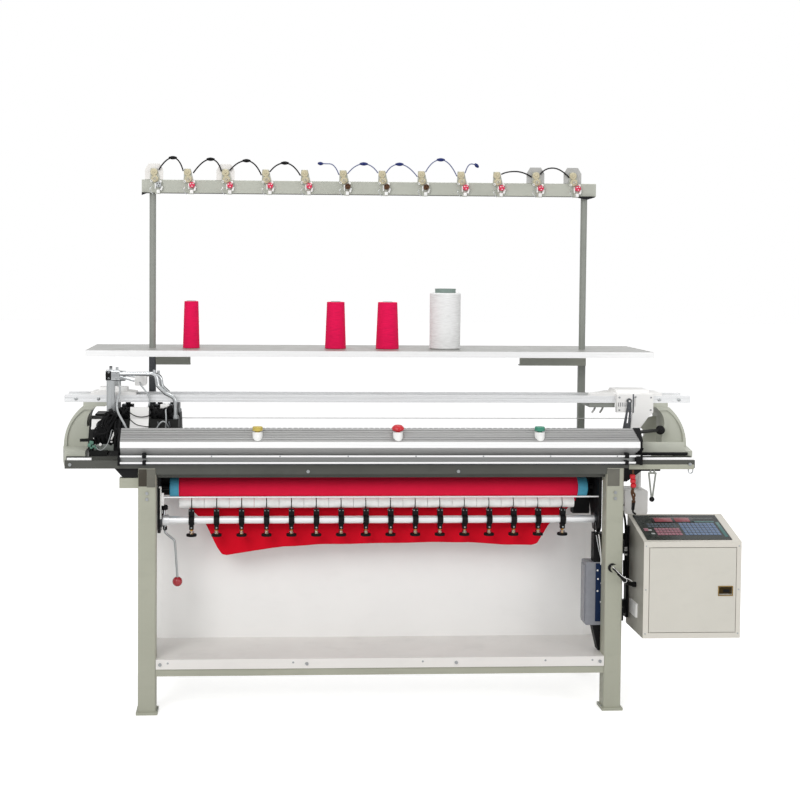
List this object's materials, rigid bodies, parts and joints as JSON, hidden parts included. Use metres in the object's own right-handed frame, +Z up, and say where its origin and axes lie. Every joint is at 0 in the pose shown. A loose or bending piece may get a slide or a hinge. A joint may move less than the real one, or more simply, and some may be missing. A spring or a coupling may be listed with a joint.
{
  "type": "flat knitting machine",
  "caption": "Flat bed knitting machine with a sliding carriage over a V of needle beds, a yarn stand above, a roller take-down below and a control box at its right.",
  "frame": {"origin": "middle of the footprint, on the floor", "axes": "+Z up, +X along the beds towards the control box, +Y from the operator's side to the back"},
  "size_m": [2.3026, 0.736, 1.9063],
  "materials": {
    "stand_paint": "satin",
    "panel_paint": "satin",
    "casting_paint": "satin",
    "shelf_paint": "satin",
    "cover_paint": "satin",
    "cam_paint": "satin",
    "cream_paint": "satin",
    "black_paint": "satin",
    "bolt_steel": "satin",
    "bed_steel": "brushed",
    "needle_steel": "polished",
    "bright_steel": "bright",
    "rail_aluminium": "satin",
    "black_plastic": "matt",
    "white_plastic": "glossy",
    "yellow_plastic": "glossy",
    "red_plastic": "glossy",
    "green_plastic": "glossy",
    "cream_plastic": "matt",
    "grey_plastic": "matt",
    "blue_plastic": "glossy",
    "black_rubber": "matt",
    "blue_rubber": "matt",
    "red_yarn": "wound yarn",
    "white_yarn": "wound yarn",
    "white_cloth": "knitted",
    "key_sheet": "matt"
  },
  "bodies": {
    "stand": {"left_leg_frame": "stand_paint", "right_leg_frame": "stand_paint", "frame_bolts": "bolt_steel", "front_base_beam": "stand_paint", "rear_base_beam": "stand_paint", "lower_shelf": "stand_paint", "back_panel": "panel_paint", "left_end_bracket": "casting_paint", "right_end_bracket": "casting_paint", "support_brackets": "black_paint", "front_needle_bed": "bed_steel", "rear_needle_bed": "bed_steel", "front_needles": "needle_steel", "rear_needles": "needle_steel", "guide_tray": "bright_steel", "front_cover": "cover_paint", "cover_end_caps": "black_plastic", "button_collars": "white_plastic", "front_feeder_rail": "rail_aluminium", "rear_feeder_rail": "rail_aluminium", "drive_belt": "black_rubber", "left_stop_plate": "casting_paint", "carrier_station": "casting_paint", "stand_posts": "stand_paint", "yarn_shelf": "shelf_paint", "top_bar": "stand_paint", "tension_bodies": "white_plastic", "tension_discs": "cream_plastic", "tension_knobs": "red_plastic", "jumper_leads": "blue_plastic", "red_cones": "red_yarn", "white_bobbin": "white_yarn", "side_plates": "bright_steel", "knitted_cloth": "white_cloth", "guide_rod": "bright_steel", "control_box": "cream_paint", "key_panel": "key_sheet", "motor_housing": "cream_paint", "junction_box": "grey_plastic", "box_cables": "black_rubber"},
    "carriage": {"front_cam_box": "cam_paint", "rear_cam_box": "cam_paint", "carriage_bridge": "bright_steel", "solenoid_box": "cream_plastic", "carriage_cables": "grey_plastic"},
    "feeders": {"yarn_feeders": "black_plastic"},
    "lever": {"carrier_lever": "bright_steel"},
    "main_roller": {"take_down_roller": "blue_rubber"},
    "clamps": {"clamp_shaft": "bright_steel", "shaft_clamps": "black_paint", "release_handle": "bright_steel"},
    "press_rollers": {"pressure_rollers": "white_plastic"},
    "stop_button": {"yellow_button": "yellow_plastic"},
    "emergency_button": {"red_button": "red_plastic"},
    "start_button": {"green_button": "green_plastic"},
    "door": {"box_door": "cream_paint"},
    "latch": {"door_latch": "bright_steel"},
    "hook_lever": {"hanging_lever": "bright_steel"},
    "belt_pulley": {"drive_pulley": "rail_aluminium"},
    "belt_idler": {"idler_pulley": "rail_aluminium"}
  },
  "joints": [
    {"name": "carriage_slide", "type": "slide", "parent": "stand", "child": "carriage", "axis": [1, 0, 0], "range_m": [0, 1.52]},
    {"name": "feeder_slide", "type": "slide", "parent": "stand", "child": "feeders", "axis": [1, 0, 0], "range_m": [-1.48, 0]},
    {"name": "carrier_lever_hinge", "type": "hinge", "parent": "stand", "child": "lever", "pos_m": [0.82075, -0.1483, 1.046], "axis": [0, 1, 0], "range_deg": [-25, 12]},
    {"name": "main_roller_turn", "type": "hinge", "parent": "stand", "child": "main_roller", "pos_m": [-0.05925, -0.157, 0.746], "axis": [1, 0, 0], "continuous": true},
    {"name": "clamp_shaft_turn", "type": "hinge", "parent": "stand", "child": "clamps", "pos_m": [-0.05925, -0.202, 0.64], "axis": [1, 0, 0], "range_deg": [0, 20]},
    {"name": "press_roller_turn", "type": "hinge", "parent": "clamps", "child": "press_rollers", "pos_m": [-0.05925, -0.17989, 0.69599], "axis": [1, 0, 0], "continuous": true},
    {"name": "yellow_button_press", "type": "slide", "parent": "stand", "child": "stop_button", "axis": [0, 0, 1], "range_m": [-0.004, 0], "stiffness_N_per_m": 300},
    {"name": "red_button_press", "type": "slide", "parent": "stand", "child": "emergency_button", "axis": [0, 0, 1], "range_m": [-0.004, 0], "stiffness_N_per_m": 300},
    {"name": "green_button_press", "type": "slide", "parent": "stand", "child": "start_button", "axis": [0, 0, 1], "range_m": [-0.004, 0], "stiffness_N_per_m": 300},
    {"name": "door_hinge", "type": "hinge", "parent": "stand", "child": "door", "pos_m": [0.84175, -0.363, 0.428], "axis": [0, 0, -1], "range_deg": [0, 110]},
    {"name": "latch_hinge", "type": "hinge", "parent": "door", "child": "latch", "pos_m": [1.09825, -0.3648, 0.4358], "axis": [-1, 0, 0], "range_deg": [0, 40]},
    {"name": "hook_lever_hinge", "type": "hinge", "parent": "stand", "child": "hook_lever", "pos_m": [0.86175, -0.298, 0.825], "axis": [0, 1, 0], "range_deg": [-20, 20]},
    {"name": "belt_pulley_turn", "type": "hinge", "parent": "stand", "child": "belt_pulley", "pos_m": [0.97075, 0.129, 0.93], "axis": [0, 1, 0], "continuous": true},
    {"name": "belt_idler_turn", "type": "hinge", "parent": "stand", "child": "belt_idler", "pos_m": [-1.08925, 0.129, 0.93], "axis": [0, 1, 0], "continuous": true}
  ],
  "couplings": [
    {"joint": "press_roller_turn", "follows": "main_roller_turn", "ratio": -1.8378},
    {"joint": "belt_pulley_turn", "follows": "carriage_slide", "rad_per_m": -43.478},
    {"joint": "belt_idler_turn", "follows": "carriage_slide", "rad_per_m": -43.478}
  ]
}
